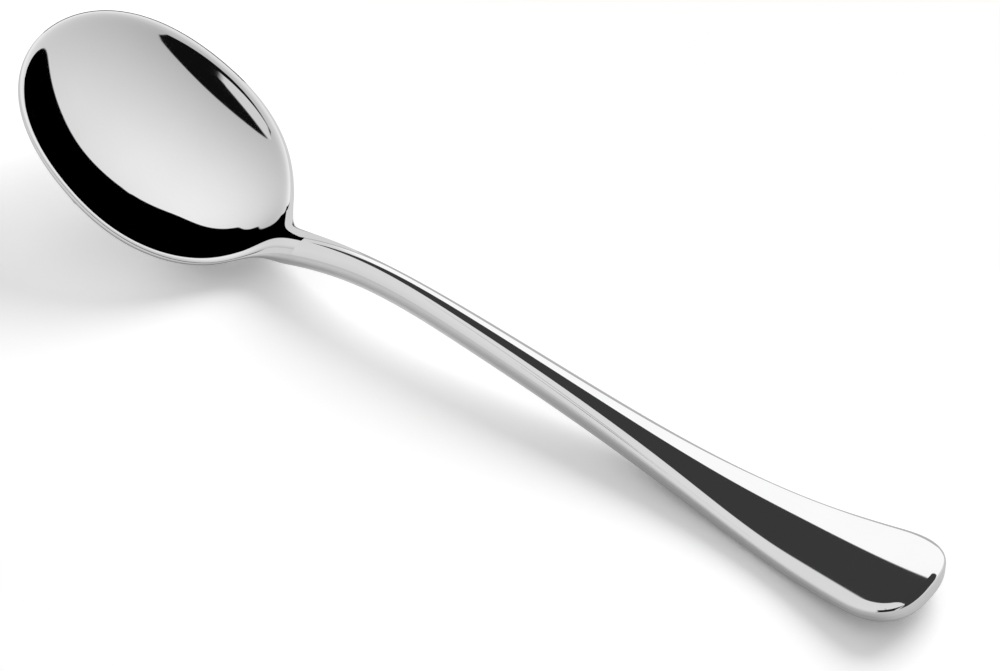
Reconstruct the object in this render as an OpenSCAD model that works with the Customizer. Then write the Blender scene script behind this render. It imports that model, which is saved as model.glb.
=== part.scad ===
// Serving spoon in polished steel: a pressed bowl welded to a forged shank,
// whose tang is cemented into a hollow handle brazed from two half shells.
// X runs from the tip of the bowl to the end of the handle, Y across, Z up.
// The table is at Z = 0: the spoon rests on the bowl and on the belly of the handle.

/* [Overall] */
// Length from the tip of the bowl to the end of the handle
spoon_l = 240; // [225:1:260]

/* [Bowl] */
// Width of the bowl across its rim
bowl_w = 55; // [48:0.5:62]
// Length of the bowl along its sloping rim
bowl_l = 69; // [63:0.5:76]
// Depth of the hollow, straight down from the middle of the rim's plane
bowl_depth = 13.5; // [11:0.25:16]
// Slope of the rim in degrees, tip upwards
bowl_tilt = 26.5; // [22:0.5:30]
// Thickness of the bowl's sheet
bowl_wall = 1.6; // [1.2:0.1:2.2]
// Softness of the shoulders where the rim turns into the neck
shoulder = 11.6; // [9:0.2:14]
// Length of the root behind the bowl, up to the weld
root_l = 12; // [10:0.5:15]
// Length over which the bowl's underside thickens into the root
heel_l = 20; // [16:0.5:24]

/* [Neck] */
// Width of the neck at its narrowest
neck_w = 6.4; // [5.6:0.1:8]
// Depth of the neck, top to underside
neck_d = 6.8; // [6:0.1:8.5]
// Height of the neck's arch over the belly of the handle
arch_h = 12; // [9:0.25:15]
// Softness of the dip where the sloping rim meets the rising neck
saddle = 1.5; // [1:0.1:2.5]
// Length of the shank between the weld and the mouth of the handle
shank_l = 30; // [24:1:40]

/* [Handle] */
// Width of the handle near its end
end_w = 26; // [22:0.5:30]
// Depth of the handle at its end
end_d = 4.8; // [4.6:0.1:6]
// Rise of the handle's end over its belly
end_lift = 5; // [2:0.25:7]
// Length over which the corners of the end round off
corner_l = 13; // [9:0.5:18]
// How far the flanks stand out past the edges of the top face
flank = 1.8; // [1.7:0.05:2.2]
// Rise of the top face at its middle
crown = 1; // [0.6:0.05:1.2]
// Rise of the underside towards its edges
belly = 0.8; // [0.4:0.05:1]

/* [Joints] */
// Thickness of the handle's half shells
shell_wall = 0.9; // [0.7:0.05:1.05]
// Thickness of the braze between the two half shells
seam_t = 0.4; // [0.3:0.05:0.5]
// Thickness of the weld between bowl and shank
weld_t = 1.2; // [0.8:0.1:2]
// Thickness of the solder between shank and handle
solder_t = 0.5; // [0.4:0.05:0.8]
// Thickness of the cement round the tang
cement_t = 0.5; // [0.3:0.05:0.6]
// Length of the tang inside the handle
tang_l = 55; // [40:1:70]

/* [Hidden] */

// Control shares of the smooth curves along the spoon, evenly spaced from the
// middle of the bowl to the end of the handle, with one control before and after.
width_shares = [0.6, 0.52, 0.25, -0.03, 0.04, 0.09, 0.26, 0.69, 1.19, 1.08];
depth_shares = [0.5, 0.55, 0.69, 0.94, 1.05, 0.9, 0.64, 0.36, 0.15, 0];
arch_shares = [-2.6, -1.02, 0.26, 1, 0.82, 0.52, 0.17, -0.04, 0.01, 0.03];
lift_shares = [0, 0, 0, 0, 0, 0, 0, 0, 1, 2.1];

// Egg shape of the rim: lean towards the neck and fullness of both ends
egg_lean_share = 0.02;
egg_full_share = 0.09;
// How much fuller the hollow is than a plain parabola
hollow_full_share = 0.12;
// Stretch of the bowl, in half lengths from its middle, where the neck's width comes in
neck_in_share = 0.6;
// Share of the heel's length over which it spreads from the neck to the whole width
heel_spread_share = 0.5;
// Share of the hollow over which the rim's inner edge is rounded over
lip_share = 0.035;
// Roundness of the edges: at the rim, over and under the seam at the handle's end, and of the end's corners
rim_power = 2;
crease_power = 6;
edge_power = 3;
corner_power = 2.6;
// Flat on the rim's edge, as an angle of its rounding
rim_flat = 12;

// Steps of the lofts
tip_steps = 12;
bowl_steps = 26;
shank_steps = 8;
tang_steps = 10;
grip_steps = 14;
corner_steps = 8;
bowl_ribs = 8;
bar_ribs = 4;
edge_steps = 4;
// First angle at the tip and last angle at the handle's end
tip_start = 3;
corner_end = 86;

// Places along X
rim_r = bowl_wall/2;
tip_x = -spoon_l/2;
end_x = spoon_l/2;
bowl_a = bowl_l*cos(bowl_tilt)/2 - rim_r;
bowl_b = bowl_w/2 - rim_r;
bowl_x = tip_x + rim_r + bowl_a;
weld_x = bowl_x + bowl_a + root_l;
shank_x = weld_x + weld_t;
mouth_x = shank_x + shank_l;
shell_x = mouth_x + solder_t;
tang_x = mouth_x + tang_l;
corner_x = end_x - flank - corner_l;
heel_x = weld_x - heel_l;
spread_x = weld_x - heel_l*heel_spread_share;
tang_inset = shell_wall + cement_t;
slope_step = bowl_wall/100;

// Eased step from 0 to 1
function ease(t) =
    let (c = min(max(t, 0), 1))
    c*c*c*(10 - 15*c + 6*c*c);

// Larger of two values, with a rounded change from one to the other
function soft_max(a, b, r) = max(a, b) + r*ln(1 + exp(-abs(a - b)/r));

// Smooth curve through a list of control shares
function curve(shares, x) =
    let (spans = len(shares) - 3)
    let (s = min(max((x - bowl_x)/(end_x - bowl_x)*spans, 0), spans))
    let (i = min(floor(s), spans - 1))
    let (f = s - i)
    ((1 - f)^3*shares[i]
        + (3*f^3 - 6*f^2 + 4)*shares[i + 1]
        + (1 + 3*f + 3*f^2 - 3*f^3)*shares[i + 2]
        + f^3*shares[i + 3])/6;

// Place along the bowl: -1 at the tip of its hollow, 0 at its middle, 1 at its back
function along(x) = (x - bowl_x)/bowl_a;

// From the bowl's sheet (0) to the full section of the bar (1)
function heel(x) = ease((x - heel_x)/heel_l);

// Square of the hollow's half width, fading out softly behind the bowl
function hollow(x) =
    let (u = along(x))
    let (p = bowl_b^2*(1 - u*u)*(1 + egg_lean_share*u + egg_full_share*u*u)^2)
    u < 0 ? p : soft_max(p, 0, shoulder^2);

// How far the rounded edge stands out past the edge of the top face
function edge_out(x) = rim_r + (flank - rim_r)*heel(x);

// Half width of the bar's top face, without the bowl
function bar_half(x) =
    let (full = (neck_w + (end_w - neck_w)*curve(width_shares, x))/2)
    (full - flank)*ease((along(x) + neck_in_share)/(2*neck_in_share));

// Half width of the top face along the straight stretch, bowl and bar together
function face_half(x) = sqrt(max(hollow(x) + bar_half(x)^2, 0));

// Depth of the bar, top to underside
function bar_depth(x) = end_d + (neck_d - end_d)*curve(depth_shares, x);

// Height of the bar's edge before the handle is set down on the table
function bar_line(x) = arch_h*curve(arch_shares, x) + end_lift*curve(lift_shares, x);

// Stations along the handle, first beside the tang, where its belly is looked for
tang_xs = [for (i = [0:tang_steps]) shell_x + (tang_x - shell_x)*i/tang_steps];
grip_xs = concat(tang_xs, [for (i = [1:grip_steps]) tang_x + (corner_x - tang_x)*i/grip_steps]);
bar_z = max([for (x = grip_xs) bar_depth(x) - crown - bar_line(x)]);

// Share of the hollow at a point of the bowl: 0 on the rim, 1 in the middle
function hollow_share(x, y) =
    let (h = hollow(x), n = bar_half(x))
    (h - y*y*(n > 0 ? h/(h + n*n) : 1))/bowl_b^2;

// The same share with the rim's inner edge rounded over
function lipped(w) =
    w <= 0 ? 0 : (w - lip_share*(1 - exp(-w/lip_share)))/(1 - lip_share*(1 - exp(-1/lip_share)));

// Depth for a share of the hollow
function deepen(w) = bowl_depth*((1 + hollow_full_share)*w - hollow_full_share*w*w);

// Drop of the underside's shape under the rim, and what the rounded inner edge fills in over it
function under_drop(x, y) = deepen(hollow_share(x, y));
function lip_rise(x, y) = under_drop(x, y) - deepen(lipped(hollow_share(x, y)));

// Height of the sloping rim over its middle
function rim_line(x) = -tan(bowl_tilt)*(x - bowl_x);

// Upright thickness of the bowl's sheet on its middle line
function middle_wall(x) =
    let (d1 = under_drop(x + slope_step, 0) - under_drop(x - slope_step, 0))
    let (s = d1/(2*slope_step) + tan(bowl_tilt))
    bowl_wall*sqrt(1 + s*s);

// Stations along the bowl, and the height that sets its underside on the table
tip_xs = [for (i = [0:tip_steps]) bowl_x - bowl_a*cos(tip_start + (90 - tip_start)*i/tip_steps)];
back_xs = [for (i = [1:bowl_steps]) bowl_x + (weld_x - bowl_x)*i/bowl_steps];
rim_z = max([for (x = concat(tip_xs, back_xs)) if (x < heel_x) under_drop(x, 0) + middle_wall(x) - rim_line(x)]);

// Height of the edge of the top face
function edge_z(x) = soft_max(rim_z + rim_line(x), bar_z + bar_line(x), saddle);

// Height of the top face at any point, before and after the rim's inner edge is rounded over
function plain_z(x, y) =
    let (out = face_half(x) + edge_out(x))
    edge_z(x) - under_drop(x, y) + crown*heel(x)*(1 - y*y/(out*out));
function top_z(x, y) = plain_z(x, y) + lip_rise(x, y);

// Upright thickness of the bowl's sheet at any point
function sheet(x, y) =
    let (sx = (plain_z(x + slope_step, y) - plain_z(x - slope_step, y))/(2*slope_step))
    let (sy = (plain_z(x, y + slope_step) - plain_z(x, y - slope_step))/(2*slope_step))
    bowl_wall*sqrt(1 + sx*sx + sy*sy) + lip_rise(x, y);

// Upright thickness at any point: sheet in the bowl, full section in the bar
function thick(x, y) =
    let (h = heel(x))
    let (out = face_half(x) + edge_out(x))
    let (bar = bar_depth(x) - (crown + belly)*y*y/(out*out))
    let (spread = ease((x - spread_x)/(weld_x - spread_x)))
    let (near = exp(-(y/neck_w)^2))
    let (part = h*(near + (1 - near)*spread))
    h >= 1 ? bar : sheet(x, y)*(1 - part) + bar*part;

// Roundness of the edges along the spoon, from the rim's to that at the handle's end
function power(x, end_power) = rim_power + (end_power - rim_power)*ease((x - heel_x)/(end_x - heel_x));

// A station: place along X, half width of the top face, and the way out of its edge
function station(x, half, out_x, out_y) = [x, half, [out_x, out_y]/norm([out_x, out_y])];

function tip_station(t) =
    let (c = cos(t), s = sin(t), u = -c)
    let (g = 1 + egg_lean_share*u + egg_full_share*u*u)
    let (dg = (egg_lean_share + 2*egg_full_share*u)*s)
    station(bowl_x - bowl_a*c, face_half(bowl_x - bowl_a*c), -bowl_b*(c*g + s*dg), bowl_a*s);

function bar_station(x) =
    let (slope = (face_half(x + slope_step) - face_half(x - slope_step))/(2*slope_step))
    let (turn = 1 - ease((x - spread_x)/(weld_x - spread_x)))
    station(x, face_half(x), -slope*turn, 1);

function corner_station(t) =
    let (c = cos(t)^(2/corner_power), s = sin(t)^(2/corner_power))
    let (x = corner_x + corner_l*s, half = bar_half(x))
    station(x, half*c, s^(corner_power - 1)/corner_l, c^(corner_power - 1)/half);

tip_stations = [for (i = [0:tip_steps]) tip_station(tip_start + (90 - tip_start)*i/tip_steps)];
back_stations = [for (x = back_xs) bar_station(x)];
bowl_stations = concat(tip_stations, back_stations);
corner_stations = [for (i = [1:corner_steps]) corner_station(corner_end*i/corner_steps)];
handle_stations = concat([for (x = grip_xs) bar_station(x)], corner_stations);

// Point on the rounded edge: a is the angle up from its middle, inset the depth under the skin
function edge_point(st, side, a, inset) =
    let (k = 2/power(st[0], a > 0 ? crease_power : edge_power))
    let (e = (edge_out(st[0]) - inset)*cos(a)^k)
    let (x = st[0] + e*st[2][0], y = st[1] + e*st[2][1])
    let (zt = top_z(st[0] + (x - st[0])*(1 - heel(st[0])), y) - inset)
    let (zb = zt + 2*inset - thick(st[0] + (x - st[0])*(1 - heel(st[0])), y))
    let (up = sign(a)*abs(sin(a))^k)
    [x, side*y, (zt + zb)/2 + (zt - zb)/2*up];

// Angle on the edge at which the braze begins, so that it is everywhere as thick
function seam_angle(st, inset, end_power) =
    let (half = thick(st[0], st[1])/2 - inset)
    asin(min((seam_t/2/half)^(power(st[0], end_power)/2), 1));

// Upper half of a section, near edge to far edge, and lower half, far edge to near edge
function upper(st, ribs, inset = 0) =
    let (flat = st[0] < weld_x ? rim_flat : seam_angle(st, inset, crease_power))
    let (rise = [for (i = [0:edge_steps - 1]) flat + (90 - flat)*i/edge_steps])
    concat(
        [for (a = rise) edge_point(st, -1, a, inset)],
        [for (i = [-ribs:ribs]) [st[0], st[1]*i/ribs, top_z(st[0], st[1]*i/ribs) - inset]],
        [for (i = [edge_steps - 1:-1:0]) edge_point(st, 1, rise[i], inset)]);

function lower(st, ribs, inset = 0) =
    let (flat = st[0] < weld_x ? rim_flat : seam_angle(st, inset, edge_power))
    let (fall = [for (i = [0:edge_steps - 1]) flat + (90 - flat)*i/edge_steps])
    let (ys = [for (i = [ribs:-1:-ribs]) st[1]*i/ribs])
    concat(
        [for (a = fall) edge_point(st, 1, -a, inset)],
        [for (y = ys) [st[0], y, top_z(st[0], y) - thick(st[0], y) + inset]],
        [for (i = [edge_steps - 1:-1:0]) edge_point(st, -1, -fall[i], inset)]);

function section(st, ribs, inset = 0) = concat(upper(st, ribs, inset), lower(st, ribs, inset));

// Joined list of lists
function flatten(lists) = [for (l = lists) each l];

// Two triangles of a four-sided patch, always cut along the same diagonal
function patch(a, b, c, d) = [[a, b, c], [a, c, d]];

// Skin over rings of k points each, from point first on, closed round the ring or open
function skin(count, k, first = 0, open = 0) = flatten([
    for (i = [0:count - 2], j = [0:k - 1 - open])
        let (a = first + i*k, n = (j + 1)%k)
        patch(a + j, a + n, a + k + n, a + k + j)
]);

function turned(faces) = [for (f = faces) [f[2], f[1], f[0]]];

// Lid over a ring, between its first half and its second half
function lid(first, k) = flatten([
    for (j = [0:k/2 - 2])
        patch(first + j, first + k - 1 - j, first + k - 2 - j, first + j + 1)
]);

// Closing of a half section across the middle, between its near and its far edge:
// count points from first on, of which the rib points lie between the edge points
function zip(first, count) = concat(
    flatten([
        for (j = [0:edge_steps - 2])
            patch(first + j, first + count - 1 - j, first + count - 2 - j, first + j + 1)
    ]),
    [
        for (j = [edge_steps:count - edge_steps - 1])
            [first + edge_steps - 1, first + j + 1, first + j]
    ]);

// Solid between rings, with a lid on both ends
module bar(rings) {
    k = len(rings[0]);
    last = (len(rings) - 1)*k;
    polyhedron(flatten(rings), concat(skin(len(rings), k), lid(0, k), turned(lid(last, k))));
}

// Tube between outer and inner rings
module sleeve(outer, inner) {
    k = len(outer[0]);
    n = len(outer);
    ends = flatten([
        for (j = [0:k - 1])
            let (m = (j + 1)%k)
            concat(
                turned(patch(j, m, n*k + m, n*k + j)),
                patch((n - 1)*k + j, (n - 1)*k + m, (2*n - 1)*k + m, (2*n - 1)*k + j))
    ]);
    polyhedron(
        concat(flatten(outer), flatten(inner)),
        concat(skin(n, k), turned(skin(n, k, n*k)), ends));
}

// Half shell between outer and inner half sections, closed round the end of the handle
module half_shell(outer, inner) {
    h = len(outer[0]);
    n = len(outer);
    in = n*h;
    last = (n - 1)*h;
    mouth = flatten([for (j = [0:h - 2]) turned(patch(j, j + 1, in + j + 1, in + j))]);
    seams = flatten([
        for (i = [0:n - 2])
            let (a = i*h, b = a + h - 1)
            concat(
                turned(patch(a, in + a, in + a + h, a + h)),
                patch(b + h, b, in + b, in + b + h))
    ]);
    seam_end = patch(last, in + last, in + last + h - 1, last + h - 1);
    polyhedron(
        concat(flatten(outer), flatten(inner)),
        concat(
            skin(n, h, 0, 1),
            turned(skin(n, h, in, 1)),
            mouth,
            seams,
            turned(zip(last, h)),
            zip(in + last, h),
            turned(seam_end)));
}

// Bowl with its root
module bowl() {
    rings = [for (st = bowl_stations) section(st, bowl_ribs)];
    k = len(rings[0]);
    h = k/2;
    n = len(rings);
    tip_edge = patch(0, k - 1, h, h - 1);
    color("silver")
        polyhedron(
            flatten(rings),
            concat(skin(n, k), zip(0, h), zip(h, h), tip_edge, turned(lid((n - 1)*k, k))));
}

// Weld between the bowl's root and the shank, ground flush
module neck_weld()
    color("lightgray")
        bar([for (x = [weld_x, shank_x]) section(bar_station(x), bar_ribs)]);

// Shank with its shoulder at the mouth of the handle and its tang
module shank() {
    neck = [for (i = [0:shank_steps]) bar_station(shank_x + shank_l*i/shank_steps)];
    tang = [for (x = concat([mouth_x], tang_xs)) bar_station(x)];
    color("gainsboro")
        bar(concat(
            [for (st = neck) section(st, bar_ribs)],
            [for (st = tang) section(st, bar_ribs, tang_inset)]));
}

// Solder between the shank's shoulder and the mouth of the handle
module mouth_solder() {
    ends = [for (x = [mouth_x, shell_x]) bar_station(x)];
    color("lightgray")
        sleeve(
            [for (st = ends) section(st, bar_ribs)],
            [for (st = ends) section(st, bar_ribs, tang_inset)]);
}

// Cement that fills the handle round the tang
module tang_cement() {
    fill = [for (x = tang_xs) bar_station(x)];
    color("dimgray")
        sleeve(
            [for (st = fill) section(st, bar_ribs, shell_wall)],
            [for (st = fill) section(st, bar_ribs, tang_inset)]);
}

module handle_upper_shell()
    color("silver")
        half_shell(
            [for (st = handle_stations) upper(st, bar_ribs)],
            [for (st = handle_stations) upper(st, bar_ribs, shell_wall)]);

module handle_lower_shell()
    color("darkgray")
        half_shell(
            [for (st = handle_stations) lower(st, bar_ribs)],
            [for (st = handle_stations) lower(st, bar_ribs, shell_wall)]);

// Braze between the half shells: along the near flank, round the end and back along the far one
module seam_braze() {
    near = [
        for (st = handle_stations)
            [
                edge_point(st, -1, seam_angle(st, 0, crease_power), 0),
                edge_point(st, -1, seam_angle(st, shell_wall, crease_power), shell_wall),
                edge_point(st, -1, -seam_angle(st, shell_wall, edge_power), shell_wall),
                edge_point(st, -1, -seam_angle(st, 0, edge_power), 0)
            ]
    ];
    far = [for (i = [len(near) - 1:-1:0]) [for (p = near[i]) [p[0], -p[1], p[2]]]];
    color("lightgray") bar(concat(near, far));
}

bowl();
neck_weld();
shank();
mouth_solder();
tang_cement();
handle_upper_shell();
handle_lower_shell();
seam_braze();
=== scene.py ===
import math

import bmesh
import bpy
import numpy as np
from mathutils import Matrix, Vector


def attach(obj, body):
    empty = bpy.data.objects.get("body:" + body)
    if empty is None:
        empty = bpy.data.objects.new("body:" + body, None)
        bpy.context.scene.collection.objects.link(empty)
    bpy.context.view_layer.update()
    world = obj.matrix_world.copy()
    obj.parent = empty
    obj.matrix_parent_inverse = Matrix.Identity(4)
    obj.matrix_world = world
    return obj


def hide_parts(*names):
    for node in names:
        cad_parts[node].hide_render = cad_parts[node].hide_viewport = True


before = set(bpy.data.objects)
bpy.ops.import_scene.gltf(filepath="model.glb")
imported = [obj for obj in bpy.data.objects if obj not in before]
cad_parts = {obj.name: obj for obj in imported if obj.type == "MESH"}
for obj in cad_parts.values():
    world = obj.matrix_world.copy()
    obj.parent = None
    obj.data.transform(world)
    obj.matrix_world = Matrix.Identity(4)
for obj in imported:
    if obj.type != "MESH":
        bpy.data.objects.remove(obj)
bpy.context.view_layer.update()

# Sizes of the spoon in millimetres, the same as those of the solids
MM = 0.001
SPOON_L = 240.0
BOWL_W = 55.0
BOWL_L = 69.0
BOWL_DEPTH = 13.5
BOWL_TILT = math.radians(26.5)
BOWL_WALL = 1.6
SHOULDER = 11.6
ROOT_L = 12.0
HEEL_L = 20.0
NECK_W = 6.4
NECK_D = 6.8
ARCH_H = 12.0
SADDLE = 1.5
SHANK_L = 30.0
END_W = 26.0
END_D = 4.8
END_LIFT = 5.0
CORNER_L = 13.0
FLANK = 1.8
CROWN = 1.0
BELLY = 0.8
SHELL_WALL = 0.9
SEAM_T = 0.4
WELD_T = 1.2
SOLDER_T = 0.5
CEMENT_T = 0.5
TANG_L = 55.0

# Control shares of the smooth curves from the middle of the bowl to the end of the handle
WIDTH_SHARES = np.array([0.6, 0.52, 0.25, -0.03, 0.04, 0.09, 0.26, 0.69, 1.19, 1.08])
DEPTH_SHARES = np.array([0.5, 0.55, 0.69, 0.94, 1.05, 0.9, 0.64, 0.36, 0.15, 0.0])
ARCH_SHARES = np.array([-2.6, -1.02, 0.26, 1.0, 0.82, 0.52, 0.17, -0.04, 0.01, 0.03])
LIFT_SHARES = np.array([0.0, 0.0, 0.0, 0.0, 0.0, 0.0, 0.0, 0.0, 1.0, 2.1])

# Shares and powers of the rim, the hollow, the heel and the rounded edges
EGG_LEAN = 0.02
EGG_FULL = 0.09
HOLLOW_FULL = 0.12
NECK_IN = 0.6
HEEL_SPREAD = 0.5
LIP_SHARE = 0.035
RIM_POWER = 2.0
CREASE_POWER = 6.0
EDGE_POWER = 3.0
CORNER_POWER = 2.6

# Steps of the skins, much finer than those of the solids
TIP_STEPS = 48
BACK_STEPS = 84
WELD_STEPS = 3
SHANK_STEPS = 48
TANG_STEPS = 70
GRIP_STEPS = 84
CORNER_STEPS = 32
BOWL_RIBS = 32
BAR_RIBS = 16
EDGE_STEPS = 8
TIP_START = math.radians(1.5)
CORNER_END = math.radians(88)
RIM_FLAT = math.radians(4)
SHARP_TURN = math.radians(40)

# Places along the spoon
RIM_R = BOWL_WALL/2
TIP_X = -SPOON_L/2
END_X = SPOON_L/2
BOWL_A = BOWL_L*math.cos(BOWL_TILT)/2 - RIM_R
BOWL_B = BOWL_W/2 - RIM_R
BOWL_X = TIP_X + RIM_R + BOWL_A
WELD_X = BOWL_X + BOWL_A + ROOT_L
SHANK_X = WELD_X + WELD_T
MOUTH_X = SHANK_X + SHANK_L
SHELL_X = MOUTH_X + SOLDER_T
TANG_X = MOUTH_X + TANG_L
CORNER_X = END_X - FLANK - CORNER_L
HEEL_X = WELD_X - HEEL_L
SPREAD_X = WELD_X - HEEL_L*HEEL_SPREAD
TANG_INSET = SHELL_WALL + CEMENT_T
SLOPE_STEP = BOWL_WALL/100

# Camera at the photograph's view, in degrees, millimetres and pixels
CAMERA_TURN = math.radians(36.96)
CAMERA_RISE = math.radians(44.52)
CAMERA_ROLL = math.radians(0.42)
CAMERA_FAR = 772.5
CAMERA_RIGHT = 7.5
CAMERA_UP = 6.4
FOCAL_PIXELS = 3512.0
IMAGE_WIDTH = 1000
SENSOR_WIDTH = 36.0

# Polish and cement: patterns as repeats to the metre, tones as shares of white
LINE_SCALES = (60, 1400, 1400)
LINE_DETAIL = 2.0
LINE_SHARE = 0.4
SMUDGE_SCALE = 70.0
SMUDGE_DETAIL = 4.0
SMUDGE_FROM = 0.3
SMUDGE_TO = 0.7
CEMENT_ROUGH = 0.7
CEMENT_GRAIN = 900.0
CEMENT_DARK = (0.2, 0.2, 0.19, 1)
CEMENT_PALE = (0.32, 0.31, 0.29, 1)

# Ways, as right, away and up where the camera sees the table
UP = (0, 0, 1)
LEFT = (-1, 0, 0)
RIGHT = (1, 0, 0)
LAMP_WAY = (0.49, 0.65, 0.58)

# Light, table and white card: sizes and places in millimetres, brightness as shares of white
ROOM_LIGHT = 0.6
LAMP_LIGHT = 0.4
LAMP_SIZE = 1000.0
LAMP_REACH = 1200.0
FLOOR_R = 500.0
FLOOR_SIDES = 96
FLOOR_GAP = 0.02
FLOOR_SEEN = 1.12
FLOOR_MIRRORED = 0.65
TABLE_GAP_X = -60.0
TABLE_GAP_Y = -8.0
NEAR_X = 150.0
NEAR_Y = 70.0
FAR_FROM = 1.6
# Painted pool of white light on the table beside the bowl: its middle, full and fading radii, and
# share of white
GLOW_X = -92.0
GLOW_Y = -22.0
GLOW_FULL_R = 12.0
GLOW_FADE_R = 40.0
GLOW_SHARE = 0.36
WHITE_CARD_LEFT = -86.0
WHITE_CARD_RIGHT = -50.0
WHITE_CARD_Y = 30.0
WHITE_CARD_H = 24.0
WHITE_CARD_TONE = 0.74

# Domes round the spoon, and the softness of the edges and corners painted on them
BOWL_DOME_R = 3000.0
HANDLE_DOME_R = 3400.0
DOME_SEGMENTS = 48
DOME_RINGS = 24
EDGE_SOFT = 0.005
CORNER_SOFT = 0.2
CORNER_CRISP = 0.05

# What the bowl mirrors: ways that edges face, limits and shifts of edges, and tones
OVERHEAD_WAY = (0.118, 0.241, 0.377)
OVERHEAD_TONE = 0.44
OVERHEAD_RISE = 0.545
STRIP_TOP = (-0.431, -0.621, -0.655)
STRIP_FOOT = (-0.537, -0.423, -0.73)
STRIP_FOOT_LIMIT = -0.02
STRIP_TONE = 0.005
BELOW_STRIP_TONE = 0.72
PEAK_LEFT = (0.302, 0.601, -0.74)
PEAK_RIGHT = (-0.568, 0.706, -0.423)
LOW_TOP = (0.192, 0.18, -0.965)
LOW_NEAR = (-0.08, 1, 0)
UPPER_END = (1, 0, -0.36)
UPPER_END_SHIFT = 0.468
LOWER_END = (1, 0, 0.25)
LOWER_END_SHIFT = 0.415
CARD_FOOT_SHIFT = 0.44

# What the handle mirrors, in the same terms
LEFT_TONE = 0.74
LEFT_RISE = 0.08
DIM_PATCH_FROM = 0.225
DIM_PATCH_TO = -0.25
DIM_PATCH_HEIGHT = 0.93
DIM_PATCH_TONE = 0.45
DARK_CARD_SIDE = (0.908, 0.402, -0.123)
DARK_CARD_TONE = 0.045
WALL_TOP = (0.529, 0.512, -0.676)
WALL_FOOT = (0, 0.3, -0.95)
WALL_FROM = -0.13
WALL_TO = 0.55
WALL_SOFT = 0.1
WALL_TONE = 1.12
WALL_SIDE_TONE = 0.75
WALL_FOOT_TONE = 0.5
SHADE_TOP = (0, -1, -0.15)
SHADE_FROM = -0.42
SHADE_TO = -0.25
SHADE_TONE = 0.02


# Shape of the spoon

def ease(t):
    """Eased step from 0 to 1."""
    c = np.clip(t, 0, 1)
    return c**3*(10 - 15*c + 6*c*c)


def soft_max(a, b, r):
    """Larger of two values, with a rounded change from one to the other."""
    return np.maximum(a, b) + r*np.log1p(np.exp(-np.abs(a - b)/r))


def curve(shares, x):
    """Smooth curve through control shares, evenly spaced along the spoon."""
    spans = len(shares) - 3
    place = np.clip((x - BOWL_X)/(END_X - BOWL_X)*spans, 0, spans)
    i = np.minimum(np.floor(place), spans - 1).astype(int)
    f = place - i
    before = (1 - f)**3*shares[i] + (3*f**3 - 6*f**2 + 4)*shares[i + 1]
    after = (1 + 3*f + 3*f**2 - 3*f**3)*shares[i + 2] + f**3*shares[i + 3]
    return (before + after)/6


def along(x):
    """Place along the bowl: -1 at the tip of its hollow, 0 at its middle, 1 at its back."""
    return (x - BOWL_X)/BOWL_A


def heel(x):
    """From the bowl's sheet (0) to the full section of the bar (1)."""
    return ease((x - HEEL_X)/HEEL_L)


def hollow(x):
    """Square of the hollow's half width, fading out softly behind the bowl."""
    u = along(x)
    egg = BOWL_B**2*(1 - u*u)*(1 + EGG_LEAN*u + EGG_FULL*u*u)**2
    return np.where(u < 0, egg, soft_max(egg, 0, SHOULDER**2))


def edge_out(x):
    """How far the rounded edge stands out past the edge of the top face."""
    return RIM_R + (FLANK - RIM_R)*heel(x)


def bar_half(x):
    """Half width of the bar's top face, without the bowl."""
    full = (NECK_W + (END_W - NECK_W)*curve(WIDTH_SHARES, x))/2
    return (full - FLANK)*ease((along(x) + NECK_IN)/(2*NECK_IN))


def face_half(x):
    """Half width of the top face, bowl and bar together."""
    return np.sqrt(np.maximum(hollow(x) + bar_half(x)**2, 0))


def bar_depth(x):
    """Depth of the bar, top to underside."""
    return END_D + (NECK_D - END_D)*curve(DEPTH_SHARES, x)


def bar_line(x):
    """Height of the bar's edge before the handle is set down on the table."""
    return ARCH_H*curve(ARCH_SHARES, x) + END_LIFT*curve(LIFT_SHARES, x)


def hollow_share(x, y):
    """Share of the hollow: 0 on the rim, 1 in the middle."""
    h = hollow(x)
    n = bar_half(x)
    whole = np.where(n > 0, h + n*n, 1)
    share = np.where(n > 0, h/whole, 1)
    return (h - y*y*share)/BOWL_B**2


def lipped(w):
    """The same share with the rim's inner edge rounded over."""
    inside = np.maximum(w, 0)
    rounded = inside - LIP_SHARE*(1 - np.exp(-inside/LIP_SHARE))
    return rounded/(1 - LIP_SHARE*(1 - math.exp(-1/LIP_SHARE)))


def deepen(w):
    """Depth for a share of the hollow."""
    return BOWL_DEPTH*((1 + HOLLOW_FULL)*w - HOLLOW_FULL*w*w)


def under_drop(x, y):
    """Drop of the underside's shape under the rim."""
    return deepen(hollow_share(x, y))


def lip_rise(x, y):
    """What the rounded inner edge fills in over the underside's shape."""
    return under_drop(x, y) - deepen(lipped(hollow_share(x, y)))


def rim_line(x):
    """Height of the sloping rim over its middle."""
    return -math.tan(BOWL_TILT)*(x - BOWL_X)


def middle_wall(x):
    """Upright thickness of the bowl's sheet on its middle line."""
    slope = (under_drop(x + SLOPE_STEP, 0) - under_drop(x - SLOPE_STEP, 0))/(2*SLOPE_STEP)
    return BOWL_WALL*np.sqrt(1 + (slope + math.tan(BOWL_TILT))**2)


# Heights that set the belly of the handle and the underside of the bowl on the table
grip_line = np.linspace(SHELL_X, CORNER_X, TANG_STEPS + GRIP_STEPS)
BAR_Z = np.max(bar_depth(grip_line) - CROWN - bar_line(grip_line))
bowl_line = np.linspace(TIP_X + RIM_R, HEEL_X, TIP_STEPS + BACK_STEPS)[1:]
RIM_Z = np.max(under_drop(bowl_line, 0) + middle_wall(bowl_line) - rim_line(bowl_line))


def edge_z(x):
    """Height of the edge of the top face."""
    return soft_max(RIM_Z + rim_line(x), BAR_Z + bar_line(x), SADDLE)


def plain_z(x, y):
    """Height of the top face before the rim's inner edge is rounded over."""
    out = face_half(x) + edge_out(x)
    return edge_z(x) - under_drop(x, y) + CROWN*heel(x)*(1 - y*y/(out*out))


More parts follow.
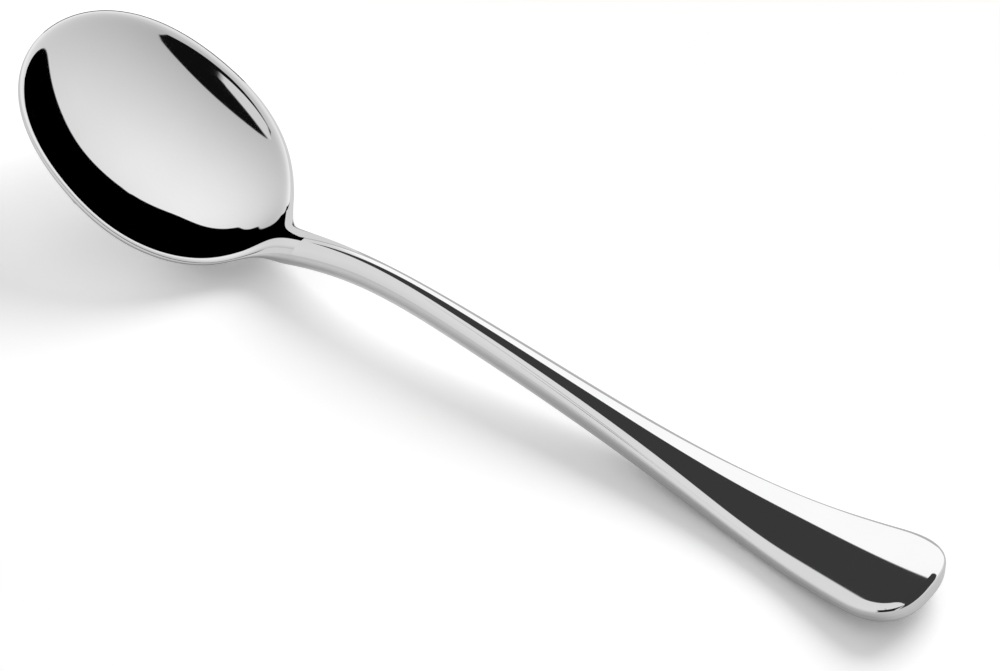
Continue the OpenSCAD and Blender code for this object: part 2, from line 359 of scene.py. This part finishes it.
def top_z(x, y):
    """Height of the top face."""
    return plain_z(x, y) + lip_rise(x, y)


def sheet(x, y):
    """Upright thickness of the bowl's sheet."""
    slope_x = (plain_z(x + SLOPE_STEP, y) - plain_z(x - SLOPE_STEP, y))/(2*SLOPE_STEP)
    slope_y = (plain_z(x, y + SLOPE_STEP) - plain_z(x, y - SLOPE_STEP))/(2*SLOPE_STEP)
    return BOWL_WALL*np.sqrt(1 + slope_x**2 + slope_y**2) + lip_rise(x, y)


def thick(x, y):
    """Upright thickness: sheet in the bowl, full section in the bar."""
    h = heel(x)
    out = face_half(x) + edge_out(x)
    bar = bar_depth(x) - (CROWN + BELLY)*y*y/(out*out)
    spread = ease((x - SPREAD_X)/(WELD_X - SPREAD_X))
    near = np.exp(-(y/NECK_W)**2)
    part = h*(near + (1 - near)*spread)
    return np.where(h >= 1, bar, sheet(x, y)*(1 - part) + bar*part)


def power(x, end_power):
    """Roundness of the edges along the spoon, from the rim's to that at the handle's end."""
    return RIM_POWER + (end_power - RIM_POWER)*ease((x - HEEL_X)/(END_X - HEEL_X))


# Stations: place along X, half width of the top face, and the way out of its edge

def stations(x, half, out_x, out_y):
    """Stations with ways out of unit length."""
    length = np.hypot(out_x, out_y)
    return np.stack([x, half, out_x/length, out_y/length])


def tip_stations(turn):
    """Round the front of the bowl, by the angle from its tip."""
    c = np.cos(turn)
    s = np.sin(turn)
    egg = 1 - EGG_LEAN*c + EGG_FULL*c*c
    egg_slope = (EGG_LEAN - 2*EGG_FULL*c)*s
    x = BOWL_X - BOWL_A*c
    return stations(x, face_half(x), -BOWL_B*(c*egg + s*egg_slope), BOWL_A*s)


def bar_stations(x):
    """Along the back of the bowl, the neck and the handle."""
    slope = (face_half(x + SLOPE_STEP) - face_half(x - SLOPE_STEP))/(2*SLOPE_STEP)
    turn = 1 - ease((x - SPREAD_X)/(WELD_X - SPREAD_X))
    return stations(x, face_half(x), -slope*turn, np.ones_like(x))


def corner_stations(turn):
    """Round the end of the handle, by the angle from its flank."""
    c = np.cos(turn)**(2/CORNER_POWER)
    s = np.sin(turn)**(2/CORNER_POWER)
    x = CORNER_X + CORNER_L*s
    half = bar_half(x)
    return stations(x, half*c, s**(CORNER_POWER - 1)/CORNER_L, c**(CORNER_POWER - 1)/half)


def edge_points(st, side, turn, inset):
    """Points on the rounded edge, at an angle up from its middle and a depth under the skin."""
    x, half, out_x, out_y = st
    bend = 2/np.where(turn > 0, power(x, CREASE_POWER), power(x, EDGE_POWER))
    reach = (edge_out(x) - inset)*np.cos(turn)**bend
    edge_x = x + reach*out_x
    edge_y = half + reach*out_y
    face_x = x + (edge_x - x)*(1 - heel(x))
    top = top_z(face_x, edge_y) - inset
    bottom = top + 2*inset - thick(face_x, edge_y)
    rise = np.sign(turn)*np.abs(np.sin(turn))**bend
    return np.stack([edge_x, side*edge_y, (top + bottom)/2 + (top - bottom)/2*rise], axis=-1)


def seam_turn(st, inset, end_power):
    """Angle on the edge at which the braze begins, or the flat of the bowl's rim."""
    x, half, out_x, out_y = st
    depth = thick(x, half)/2 - inset
    seam = np.arcsin(np.minimum((SEAM_T/2/depth)**(power(x, end_power)/2), 1))
    return np.where(x < WELD_X, RIM_FLAT, seam)


def half_sections(st, ribs, inset, upper):
    """Upper halves from the near edge to the far one, or lower halves from the far edge back."""
    x, half, out_x, out_y = st
    start = seam_turn(st, inset, CREASE_POWER if upper else EDGE_POWER)
    turns = [start + (math.pi/2 - start)*i/EDGE_STEPS for i in range(EDGE_STEPS)]
    side = -1 if upper else 1
    lift = 1 if upper else -1
    points = [edge_points(st, side, lift*turn, inset) for turn in turns]
    for i in range(-ribs, ribs + 1):
        y = -side*half*i/ribs
        face_z = top_z(x, y) - inset
        if not upper:
            face_z = top_z(x, y) - thick(x, y) + inset
        points.append(np.stack([x, y, face_z], axis=-1))
    points += [edge_points(st, -side, lift*turn, inset) for turn in reversed(turns)]
    return np.stack(points, axis=1)


def sections(st, ribs, inset=0.0):
    """Whole sections, one ring of points per station."""
    upper = half_sections(st, ribs, inset, True)
    lower = half_sections(st, ribs, inset, False)
    return np.concatenate([upper, lower], axis=1)


# Faces over rings of points

def skin(rows, count, first=0, closed=True):
    """Four-sided faces between rings of count points."""
    faces = []
    for i in range(rows - 1):
        a = first + i*count
        for j in range(count if closed else count - 1):
            n = (j + 1) % count
            faces.append((a + j, a + n, a + count + n, a + count + j))
    return faces


def lid(first, count):
    """One face over a flat ring."""
    return [tuple(range(first, first + count))]


def zip_up(first, count):
    """Closes a half section across the middle, between its near and its far edge."""
    faces = []
    for j in range(EDGE_STEPS - 1):
        faces.append((first + j, first + count - 1 - j, first + count - 2 - j, first + j + 1))
    faces.append(tuple(range(first + EDGE_STEPS - 1, first + count - EDGE_STEPS + 1)))
    return faces


def make_piece(name, points, faces, node, material):
    """A smooth mesh that stands for a node of the frame."""
    mesh = bpy.data.meshes.new(name)
    mesh.from_pydata((points.reshape(-1, 3)*MM).tolist(), [], faces)
    shaper = bmesh.new()
    shaper.from_mesh(mesh)
    bmesh.ops.recalc_face_normals(shaper, faces=shaper.faces)
    shaper.to_mesh(mesh)
    shaper.free()
    mesh.shade_smooth()
    mesh.set_sharp_from_angle(angle=SHARP_TURN)
    mesh.materials.append(material)
    piece = bpy.data.objects.new(name, mesh)
    bpy.context.collection.objects.link(piece)
    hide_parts(node)
    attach(piece, "root")
    return piece


def bar_faces(rings):
    """Faces of a solid between rings, with a lid on both ends."""
    rows, count = rings.shape[:2]
    return skin(rows, count) + lid(0, count) + lid((rows - 1)*count, count)


def sleeve_faces(rows, count):
    """Faces of a tube, outer rings first and inner rings after them."""
    inner = rows*count
    last = (rows - 1)*count
    faces = skin(rows, count) + skin(rows, count, inner)
    for j in range(count):
        n = (j + 1) % count
        faces.append((j, n, inner + n, inner + j))
        faces.append((last + j, last + n, inner + last + n, inner + last + j))
    return faces


def half_shell_faces(rows, count):
    """Faces of a half shell, outer rows first and inner rows after them."""
    inner = rows*count
    last = (rows - 1)*count
    faces = skin(rows, count, 0, False) + skin(rows, count, inner, False)
    for j in range(count - 1):
        faces.append((j, j + 1, inner + j + 1, inner + j))
    for i in range(rows - 1):
        near = i*count
        far = near + count - 1
        faces.append((near, inner + near, inner + near + count, near + count))
        faces.append((far, far + count, inner + far + count, inner + far))
    faces += zip_up(last, count) + zip_up(inner + last, count)
    faces.append((last, inner + last, inner + last + count - 1, last + count - 1))
    return faces


# Finishes

def grey(tone):
    """A plain grey as a colour."""
    return (tone, tone, tone, 1)


def add_group(name, inputs, outputs):
    """An empty node group with named sockets; returns the group and its two end nodes."""
    group = bpy.data.node_groups.new(name, "ShaderNodeTree")
    for label, kind in inputs:
        group.interface.new_socket(label, in_out="INPUT", socket_type=kind)
    for label, kind in outputs:
        group.interface.new_socket(label, in_out="OUTPUT", socket_type=kind)
    start = group.nodes.new("NodeGroupInput")
    end = group.nodes.new("NodeGroupOutput")
    return group, start, end


def polish_group():
    """Fine polishing lines along the spoon and faint smudges, as colour and roughness."""
    group, start, end = add_group(
        "hand_polish",
        [
            ("Bright", "NodeSocketColor"),
            ("Dull", "NodeSocketColor"),
            ("Smooth", "NodeSocketFloat"),
            ("Rough", "NodeSocketFloat"),
        ],
        [
            ("Color", "NodeSocketColor"),
            ("Roughness", "NodeSocketFloat"),
        ])
    nodes = group.nodes
    links = group.links
    place = nodes.new("ShaderNodeTexCoord")
    stretch = nodes.new("ShaderNodeMapping")
    stretch.inputs["Scale"].default_value = LINE_SCALES
    links.new(place.outputs["Object"], stretch.inputs["Vector"])
    lines = nodes.new("ShaderNodeTexNoise")
    lines.inputs["Scale"].default_value = 1.0
    lines.inputs["Detail"].default_value = LINE_DETAIL
    links.new(stretch.outputs["Vector"], lines.inputs["Vector"])
    smudges = nodes.new("ShaderNodeTexNoise")
    smudges.inputs["Scale"].default_value = SMUDGE_SCALE
    smudges.inputs["Detail"].default_value = SMUDGE_DETAIL
    links.new(place.outputs["Object"], smudges.inputs["Vector"])
    spread = nodes.new("ShaderNodeMapRange")
    spread.inputs["From Min"].default_value = SMUDGE_FROM
    spread.inputs["From Max"].default_value = SMUDGE_TO
    spread.inputs["To Max"].default_value = 1 - LINE_SHARE
    links.new(smudges.outputs["Fac"], spread.inputs["Value"])
    wear = nodes.new("ShaderNodeMath")
    wear.operation = "MULTIPLY_ADD"
    wear.inputs[1].default_value = LINE_SHARE
    links.new(lines.outputs["Fac"], wear.inputs[0])
    links.new(spread.outputs["Result"], wear.inputs[2])
    tone = nodes.new("ShaderNodeMix")
    tone.data_type = "RGBA"
    links.new(wear.outputs["Value"], tone.inputs["Factor"])
    links.new(start.outputs["Bright"], tone.inputs["A"])
    links.new(start.outputs["Dull"], tone.inputs["B"])
    links.new(tone.outputs["Result"], end.inputs["Color"])
    gloss = nodes.new("ShaderNodeMix")
    links.new(wear.outputs["Value"], gloss.inputs["Factor"])
    links.new(start.outputs["Smooth"], gloss.inputs["A"])
    links.new(start.outputs["Rough"], gloss.inputs["B"])
    links.new(gloss.outputs["Result"], end.inputs["Roughness"])
    return group


def metal(name, polish, bright, dull, smooth, rough):
    """Polished metal with its own brightness and roughness, each between two ends."""
    material = bpy.data.materials.new(name)
    material.use_nodes = True
    nodes = material.node_tree.nodes
    links = material.node_tree.links
    shader = nodes["Principled BSDF"]
    shader.inputs["Metallic"].default_value = 1.0
    finish = nodes.new("ShaderNodeGroup")
    finish.node_tree = polish
    finish.inputs["Bright"].default_value = grey(bright)
    finish.inputs["Dull"].default_value = grey(dull)
    finish.inputs["Smooth"].default_value = smooth
    finish.inputs["Rough"].default_value = rough
    links.new(finish.outputs["Color"], shader.inputs["Base Color"])
    links.new(finish.outputs["Roughness"], shader.inputs["Roughness"])
    return material


def cement():
    """Grey resin cement with a fine grain."""
    material = bpy.data.materials.new("resin_cement")
    material.use_nodes = True
    nodes = material.node_tree.nodes
    links = material.node_tree.links
    shader = nodes["Principled BSDF"]
    shader.inputs["Roughness"].default_value = CEMENT_ROUGH
    grain = nodes.new("ShaderNodeTexNoise")
    grain.inputs["Scale"].default_value = CEMENT_GRAIN
    tone = nodes.new("ShaderNodeMix")
    tone.data_type = "RGBA"
    tone.inputs["A"].default_value = CEMENT_DARK
    tone.inputs["B"].default_value = CEMENT_PALE
    links.new(grain.outputs["Fac"], tone.inputs["Factor"])
    links.new(tone.outputs["Result"], shader.inputs["Base Color"])
    return material


polish = polish_group()
bowl_steel = metal("bowl_steel", polish, bright=0.86, dull=0.83, smooth=0.02, rough=0.04)
handle_steel = metal("handle_steel", polish, bright=0.86, dull=0.83, smooth=0.02, rough=0.04)
weld_metal = metal("weld_metal", polish, bright=0.85, dull=0.82, smooth=0.03, rough=0.05)
solder_metal = metal("solder_metal", polish, bright=0.85, dull=0.82, smooth=0.03, rough=0.05)
braze_metal = metal("braze_metal", polish, bright=0.82, dull=0.78, smooth=0.05, rough=0.09)

# Pieces

tip_line = tip_stations(np.linspace(TIP_START, math.pi/2, TIP_STEPS + 1))
back_line = bar_stations(np.linspace(BOWL_X, WELD_X, BACK_STEPS + 1)[1:])
bowl_rings = sections(np.concatenate([tip_line, back_line], axis=1), BOWL_RIBS)
rows, count = bowl_rings.shape[:2]
half_count = count//2
bowl_faces = skin(rows, count) + zip_up(0, half_count) + zip_up(half_count, half_count)
bowl_faces.append((0, count - 1, half_count, half_count - 1))
bowl_faces += lid((rows - 1)*count, count)
bowl = make_piece("spoon_bowl", bowl_rings, bowl_faces, "bowl", bowl_steel)
# The hollow mirrors only what stands round it, and not its own far side
bowl.visible_glossy = False

weld_rings = sections(bar_stations(np.linspace(WELD_X, SHANK_X, WELD_STEPS + 1)), BAR_RIBS)
weld = make_piece(
    "spoon_neck_weld", weld_rings, bar_faces(weld_rings),
    "neck_weld", weld_metal)

neck_rings = sections(bar_stations(np.linspace(SHANK_X, MOUTH_X, SHANK_STEPS + 1)), BAR_RIBS)
tang_line = np.linspace(SHELL_X, TANG_X, TANG_STEPS + 1)
tang_rings = sections(bar_stations(np.append(MOUTH_X, tang_line)), BAR_RIBS, TANG_INSET)
shank_rings = np.concatenate([neck_rings, tang_rings])
shank = make_piece(
    "spoon_shank", shank_rings, bar_faces(shank_rings),
    "shank", handle_steel)

mouth_ends = bar_stations(np.array([MOUTH_X, SHELL_X]))
mouth_outer = sections(mouth_ends, BAR_RIBS)
mouth_inner = sections(mouth_ends, BAR_RIBS, TANG_INSET)
solder = make_piece(
    "spoon_mouth_solder", np.concatenate([mouth_outer, mouth_inner]),
    sleeve_faces(*mouth_outer.shape[:2]),
    "mouth_solder", solder_metal)

rear_line = np.linspace(TANG_X, CORNER_X, GRIP_STEPS + 1)[1:]
grip_stations = bar_stations(np.append(tang_line, rear_line))
end_stations = corner_stations(np.linspace(0, CORNER_END, CORNER_STEPS + 1)[1:])
handle_stations = np.concatenate([grip_stations, end_stations], axis=1)
shells = []
for side, is_upper in (("upper", True), ("lower", False)):
    outer = half_sections(handle_stations, BAR_RIBS, 0, is_upper)
    inner = half_sections(handle_stations, BAR_RIBS, SHELL_WALL, is_upper)
    shells.append(make_piece(
        f"spoon_{side}_shell", np.concatenate([outer, inner]),
        half_shell_faces(*outer.shape[:2]),
        f"handle_{side}_shell", handle_steel))

# The braze has four corners: upper outside, upper inside, lower inside and lower outside
seam_corners = [
    (1, CREASE_POWER, 0),
    (1, CREASE_POWER, SHELL_WALL),
    (-1, EDGE_POWER, SHELL_WALL),
    (-1, EDGE_POWER, 0),
]
near_seam = np.stack([
    edge_points(handle_stations, -1, lift*seam_turn(handle_stations, inset, end_power), inset)
    for lift, end_power, inset in seam_corners
], axis=1)
far_seam = near_seam[::-1]*np.array([1, -1, 1])
seam_rings = np.concatenate([near_seam, far_seam])
braze = make_piece(
    "spoon_seam_braze", seam_rings, bar_faces(seam_rings),
    "seam_braze", braze_metal)

# The cement is hidden in the handle and keeps its shape from the frame
cement_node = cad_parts["tang_cement"]
cement_node.data.materials.clear()
cement_node.data.materials.append(cement())

# Camera

sight_back = Vector((
    math.sin(CAMERA_TURN)*math.cos(CAMERA_RISE),
    -math.cos(CAMERA_TURN)*math.cos(CAMERA_RISE),
    math.sin(CAMERA_RISE)))
ground_right = Vector((math.cos(CAMERA_TURN), math.sin(CAMERA_TURN), 0))
ground_away = Vector((-math.sin(CAMERA_TURN), math.cos(CAMERA_TURN), 0))
level_up = sight_back.cross(ground_right)
sight_right = math.cos(CAMERA_ROLL)*ground_right + math.sin(CAMERA_ROLL)*level_up
sight_up = math.cos(CAMERA_ROLL)*level_up - math.sin(CAMERA_ROLL)*ground_right
stand = (CAMERA_FAR*sight_back + CAMERA_RIGHT*sight_right + CAMERA_UP*sight_up)*MM
camera_data = bpy.data.cameras.new("camera")
camera_data.sensor_width = SENSOR_WIDTH
camera_data.lens = SENSOR_WIDTH*FOCAL_PIXELS/IMAGE_WIDTH
camera = bpy.data.objects.new("camera", camera_data)
bpy.context.collection.objects.link(camera)
axes = Matrix((sight_right, sight_up, sight_back)).transposed()
camera.matrix_world = Matrix.Translation(stand) @ axes.to_4x4()
bpy.context.scene.camera = camera


# Light and surroundings

def toward(right, away, up):
    """Direction in the spoon's frame of one given as the camera sees the table."""
    return (right*ground_right + away*ground_away + up*Vector((0, 0, 1))).normalized()


def show_in_steel_only(thing):
    """Hides a thing of the stage from everything but mirror images."""
    thing.visible_camera = False
    thing.visible_diffuse = False
    thing.visible_transmission = False
    thing.visible_volume_scatter = False
    thing.visible_shadow = False


def light_world():
    """White for the camera, soft light for the floor, nothing of its own in the steel."""
    world = bpy.data.worlds.new("room")
    bpy.context.scene.world = world
    world.use_nodes = True
    nodes = world.node_tree.nodes
    links = world.node_tree.links
    path = nodes.new("ShaderNodeLightPath")
    seen = nodes.new("ShaderNodeMix")
    seen.inputs["A"].default_value = ROOM_LIGHT
    seen.inputs["B"].default_value = 1.0
    links.new(path.outputs["Is Camera Ray"], seen.inputs["Factor"])
    mirrored = nodes.new("ShaderNodeMix")
    mirrored.inputs["B"].default_value = 0.0
    links.new(path.outputs["Is Glossy Ray"], mirrored.inputs["Factor"])
    links.new(seen.outputs["Result"], mirrored.inputs["A"])
    background = nodes["Background"]
    background.inputs["Color"].default_value = grey(1)
    links.new(mirrored.outputs["Result"], background.inputs["Strength"])


def facing_group():
    """How far a point of the surroundings lies towards a given way, seen from the spoon."""
    group, start, end = add_group(
        "facing",
        [("Way", "NodeSocketVector")],
        [("Amount", "NodeSocketFloat")])
    nodes = group.nodes
    links = group.links
    place = nodes.new("ShaderNodeTexCoord")
    direction = nodes.new("ShaderNodeVectorMath")
    direction.operation = "NORMALIZE"
    links.new(place.outputs["Object"], direction.inputs[0])
    along_way = nodes.new("ShaderNodeVectorMath")
    along_way.operation = "DOT_PRODUCT"
    links.new(direction.outputs["Vector"], along_way.inputs[0])
    links.new(start.outputs["Way"], along_way.inputs[1])
    links.new(along_way.outputs["Value"], end.inputs["Amount"])
    return group


class Surroundings:
    """A dome that only the steel of some pieces mirrors, painted with plain-edged cards."""

    def __init__(self, name, radius, ways, receivers):
        bpy.ops.mesh.primitive_uv_sphere_add(
            segments=DOME_SEGMENTS, ring_count=DOME_RINGS, radius=radius*MM)
        dome = bpy.context.object
        dome.name = name
        show_in_steel_only(dome)
        mirrors = bpy.data.collections.new(name + "_mirrors")
        for piece in receivers:
            mirrors.objects.link(piece)
        dome.light_linking.receiver_collection = mirrors
        material = bpy.data.materials.new(name)
        material.use_nodes = True
        material.cycles.emission_sampling = "NONE"
        dome.data.materials.append(material)
        self.ways = ways
        self.nodes = material.node_tree.nodes
        self.links = material.node_tree.links
        self.nodes.clear()

    def feed(self, socket, value):
        """Gives a socket a number or links another socket to it."""
        if isinstance(value, bpy.types.NodeSocket):
            self.links.new(value, socket)
        else:
            socket.default_value = value

    def facing(self, way, scale=1.0, shift=0.0):
        """How far each point lies towards a way, times a scale and plus a shift."""
        node = self.nodes.new("ShaderNodeGroup")
        node.node_tree = self.ways
        node.inputs["Way"].default_value = toward(*way)*scale
        if shift == 0:
            return node.outputs["Amount"]
        return self.combine("ADD", node.outputs["Amount"], shift)

    def combine(self, operation, a, b, blend=0.0):
        """A sum, product, smallest or largest of two values, each a number or a socket."""
        node = self.nodes.new("ShaderNodeMath")
        node.operation = operation
        for socket, value in zip(node.inputs, (a, b, blend)):
            self.feed(socket, value)
        return node.outputs["Value"]

    def past(self, amount, limit=0.0, soft=EDGE_SOFT):
        """Mask of where an amount is over a limit."""
        node = self.nodes.new("ShaderNodeMapRange")
        node.interpolation_type = "SMOOTHSTEP"
        node.inputs["From Min"].default_value = limit - soft
        node.inputs["From Max"].default_value = limit + soft
        self.links.new(amount, node.inputs["Value"])
        return node.outputs["Result"]

    def edge(self, way, limit=0.0, soft=EDGE_SOFT):
        """Mask of the side of an edge that faces the given way, straight where the limit is 0."""
        return self.past(self.facing(way), limit, soft)

    def within(self, *masks):
        """Mask of what lies inside all the given masks."""
        inside = masks[0]
        for mask in masks[1:]:
            inside = self.combine("MULTIPLY", inside, mask)
        return inside

    def mix(self, mask, outside, inside):
        """One brightness outside a mask and another inside it."""
        node = self.nodes.new("ShaderNodeMix")
        for label, value in (("Factor", mask), ("A", outside), ("B", inside)):
            self.feed(node.inputs[label], value)
        return node.outputs["Result"]

    def shine(self, strength):
        """Puts the brightness on the dome and lets other surroundings through."""
        glow = self.nodes.new("ShaderNodeEmission")
        clear = self.nodes.new("ShaderNodeBsdfTransparent")
        both = self.nodes.new("ShaderNodeAddShader")
        end = self.nodes.new("ShaderNodeOutputMaterial")
        self.links.new(strength, glow.inputs["Strength"])
        self.links.new(glow.outputs["Emission"], both.inputs[0])
        self.links.new(clear.outputs["BSDF"], both.inputs[1])
        self.links.new(both.outputs["Shader"], end.inputs["Surface"])


def surround_bowl(ways):
    """Broad light overhead, a black strip low on the near side, a black card beyond the bowl."""
    room = Surroundings("bowl_surroundings", BOWL_DOME_R, ways, [bowl, weld])
    overhead = room.facing(OVERHEAD_WAY, OVERHEAD_RISE, OVERHEAD_TONE)
    below_strip = room.edge(STRIP_FOOT, STRIP_FOOT_LIMIT)
    low_near = room.mix(below_strip, STRIP_TONE, BELOW_STRIP_TONE)
    light = room.mix(room.edge(STRIP_TOP), overhead, low_near)
    peak = room.combine(
        "SMOOTH_MIN", room.facing(PEAK_LEFT), room.facing(PEAK_RIGHT), CORNER_SOFT)
    low = room.combine(
        "SMOOTH_MIN", room.facing(LOW_TOP), room.facing(LOW_NEAR), CORNER_CRISP)
    left_end = room.combine(
        "SMOOTH_MIN",
        room.facing(UPPER_END, shift=UPPER_END_SHIFT),
        room.facing(LOWER_END, shift=LOWER_END_SHIFT),
        CORNER_CRISP)
    card = room.combine("SMOOTH_MAX", peak, low, CORNER_SOFT)
    card = room.combine("SMOOTH_MIN", card, left_end, CORNER_CRISP)
    card = room.combine("MINIMUM", card, room.facing(UP, shift=CARD_FOOT_SHIFT))
    room.shine(room.mix(room.past(card), light, 0.0))


def surround_handle(ways):
    """Soft light from the left, a dark card over a white wall on the right, near shade."""
    pieces = [shank, solder, braze, *shells]
    room = Surroundings("handle_surroundings", HANDLE_DOME_R, ways, pieces)
    left = room.facing(UP, LEFT_RISE, LEFT_TONE)
    dim_patch = room.within(
        room.edge(LEFT, DIM_PATCH_FROM),
        room.edge(RIGHT, DIM_PATCH_TO),
        room.edge(UP, DIM_PATCH_HEIGHT))
    left = room.mix(dim_patch, left, DIM_PATCH_TONE)
    wall = room.mix(room.edge(RIGHT, WALL_FROM, WALL_SOFT), WALL_SIDE_TONE, WALL_TONE)
    wall = room.mix(room.edge(RIGHT, WALL_TO, WALL_SOFT), wall, WALL_SIDE_TONE)
    wall = room.mix(room.edge(WALL_FOOT), wall, WALL_FOOT_TONE)
    right = room.mix(room.edge(WALL_TOP), DARK_CARD_TONE, wall)
    seen = room.mix(room.edge(DARK_CARD_SIDE), left, right)
    shade = room.within(
        room.edge(SHADE_TOP),
        room.edge(RIGHT, SHADE_FROM),
        room.edge(LEFT, SHADE_TO))
    room.shine(room.mix(shade, seen, SHADE_TONE))


def add_card(name, corners, shader, setting, value):
    """A flat card that only the steel shows, with a shader and one setting of it."""
    mesh = bpy.data.meshes.new(name)
    mesh.from_pydata([Vector(corner)*MM for corner in corners], [], [range(len(corners))])
    card = bpy.data.objects.new(name, mesh)
    bpy.context.collection.objects.link(card)
    show_in_steel_only(card)
    material = bpy.data.materials.new(name)
    material.use_nodes = True
    material.cycles.emission_sampling = "NONE"
    nodes = material.node_tree.nodes
    nodes.remove(nodes["Principled BSDF"])
    surface = nodes.new(shader)
    surface.inputs[setting].default_value = value
    material.node_tree.links.new(surface.outputs[0], nodes["Material Output"].inputs["Surface"])
    mesh.materials.append(material)


def add_cards():
    """The table as the steel shows it, without its part behind the bowl, and a white card."""
    level = -FLOOR_GAP/2
    table = [
        (-FLOOR_R, -FLOOR_R, level),
        (FLOOR_R, -FLOOR_R, level),
        (FLOOR_R, FLOOR_R, level),
        (TABLE_GAP_X, FLOOR_R, level),
        (TABLE_GAP_X, TABLE_GAP_Y, level),
        (-FLOOR_R, TABLE_GAP_Y, level),
    ]
    add_card("mirrored_table", table, "ShaderNodeBsdfDiffuse", "Color", grey(FLOOR_MIRRORED))
    white = [
        (WHITE_CARD_LEFT, WHITE_CARD_Y, 0),
        (WHITE_CARD_RIGHT, WHITE_CARD_Y, 0),
        (WHITE_CARD_RIGHT, WHITE_CARD_Y, WHITE_CARD_H),
        (WHITE_CARD_LEFT, WHITE_CARD_Y, WHITE_CARD_H),
    ]
    add_card("white_card", white, "ShaderNodeEmission", "Strength", WHITE_CARD_TONE)


def add_lamp():
    """A soft lamp behind the spoon, on the right, that lights a level table with its share."""
    way = toward(*LAMP_WAY)
    size = LAMP_SIZE*MM
    reach = LAMP_REACH*MM
    lamp_data = bpy.data.lights.new("lamp", "AREA")
    lamp_data.shape = "DISK"
    lamp_data.size = size
    lamp_data.energy = LAMP_LIGHT*math.pi**2*(reach**2 + size**2/4)/way.z
    lamp = bpy.data.objects.new("lamp", lamp_data)
    bpy.context.collection.objects.link(lamp)
    lamp.location = way*reach
    lamp.rotation_euler = way.to_track_quat("Z", "Y").to_euler()
    lamp.visible_glossy = False


def far_share(nodes, links, position):
    """From 0 round the spoon to 1 further out on the table."""
    shrink = nodes.new("ShaderNodeVectorMath")
    shrink.operation = "MULTIPLY"
    shrink.inputs[1].default_value = (1/(NEAR_X*MM), 1/(NEAR_Y*MM), 0)
    links.new(position, shrink.inputs[0])
    away = nodes.new("ShaderNodeVectorMath")
    away.operation = "LENGTH"
    links.new(shrink.outputs["Vector"], away.inputs[0])
    far = nodes.new("ShaderNodeMapRange")
    far.interpolation_type = "SMOOTHSTEP"
    far.inputs["From Min"].default_value = 1.0
    far.inputs["From Max"].default_value = FAR_FROM
    links.new(away.outputs["Value"], far.inputs["Value"])
    return far.outputs["Result"]


def painted_glow_share(nodes, links, position):
    """Share of painted light on the table beside the bowl, standing for light thrown by polished
    steel.
    """
    distance = nodes.new("ShaderNodeVectorMath")
    distance.operation = "DISTANCE"
    distance.inputs[1].default_value = (GLOW_X*MM, GLOW_Y*MM, -FLOOR_GAP*MM)
    links.new(position, distance.inputs[0])
    glow = nodes.new("ShaderNodeMapRange")
    glow.interpolation_type = "SMOOTHSTEP"
    glow.inputs["From Min"].default_value = GLOW_FADE_R*MM
    glow.inputs["From Max"].default_value = GLOW_FULL_R*MM
    glow.inputs["To Max"].default_value = GLOW_SHARE
    links.new(distance.outputs["Value"], glow.inputs["Value"])
    return glow.outputs["Result"]


def white_table():
    """White with soft shadows and a painted pool of light near the spoon, plain white further
    out, clear from below.
    """
    material = bpy.data.materials.new("white_table")
    material.use_nodes = True
    nodes = material.node_tree.nodes
    links = material.node_tree.links
    nodes.remove(nodes["Principled BSDF"])
    path = nodes.new("ShaderNodeLightPath")
    place = nodes.new("ShaderNodeNewGeometry")
    # For the camera: plain white further out, and painted light beside the bowl that lightens its
    # shadow
    plain = nodes.new("ShaderNodeMath")
    plain.operation = "MAXIMUM"
    links.new(far_share(nodes, links, place.outputs["Position"]), plain.inputs[0])
    links.new(painted_glow_share(nodes, links, place.outputs["Position"]), plain.inputs[1])
    seen = nodes.new("ShaderNodeMath")
    seen.operation = "MULTIPLY"
    links.new(path.outputs["Is Camera Ray"], seen.inputs[0])
    links.new(plain.outputs["Value"], seen.inputs[1])
    shaded = nodes.new("ShaderNodeBsdfDiffuse")
    shaded.inputs["Color"].default_value = grey(FLOOR_SEEN)
    white = nodes.new("ShaderNodeEmission")
    above = nodes.new("ShaderNodeMixShader")
    links.new(seen.outputs["Value"], above.inputs["Fac"])
    links.new(shaded.outputs["BSDF"], above.inputs[1])
    links.new(white.outputs["Emission"], above.inputs[2])
    below = nodes.new("ShaderNodeMath")
    below.operation = "MULTIPLY"
    links.new(path.outputs["Is Camera Ray"], below.inputs[0])
    links.new(place.outputs["Backfacing"], below.inputs[1])
    clear = nodes.new("ShaderNodeBsdfTransparent")
    sides = nodes.new("ShaderNodeMixShader")
    links.new(below.outputs["Value"], sides.inputs["Fac"])
    links.new(above.outputs["Shader"], sides.inputs[1])
    links.new(clear.outputs["BSDF"], sides.inputs[2])
    links.new(sides.outputs["Shader"], nodes["Material Output"].inputs["Surface"])
    return material


def add_floor():
    """The table as the camera sees it; the steel shows the card that stands for it."""
    bpy.ops.mesh.primitive_circle_add(
        vertices=FLOOR_SIDES, radius=FLOOR_R*MM, fill_type="NGON")
    floor = bpy.context.object
    floor.name = "floor"
    floor.location.z = -FLOOR_GAP*MM
    floor.visible_glossy = False
    floor.data.materials.append(white_table())


bpy.context.scene.view_settings.view_transform = "Standard"
light_world()
facing_ways = facing_group()
surround_bowl(facing_ways)
surround_handle(facing_ways)
add_cards()
add_lamp()
add_floor()
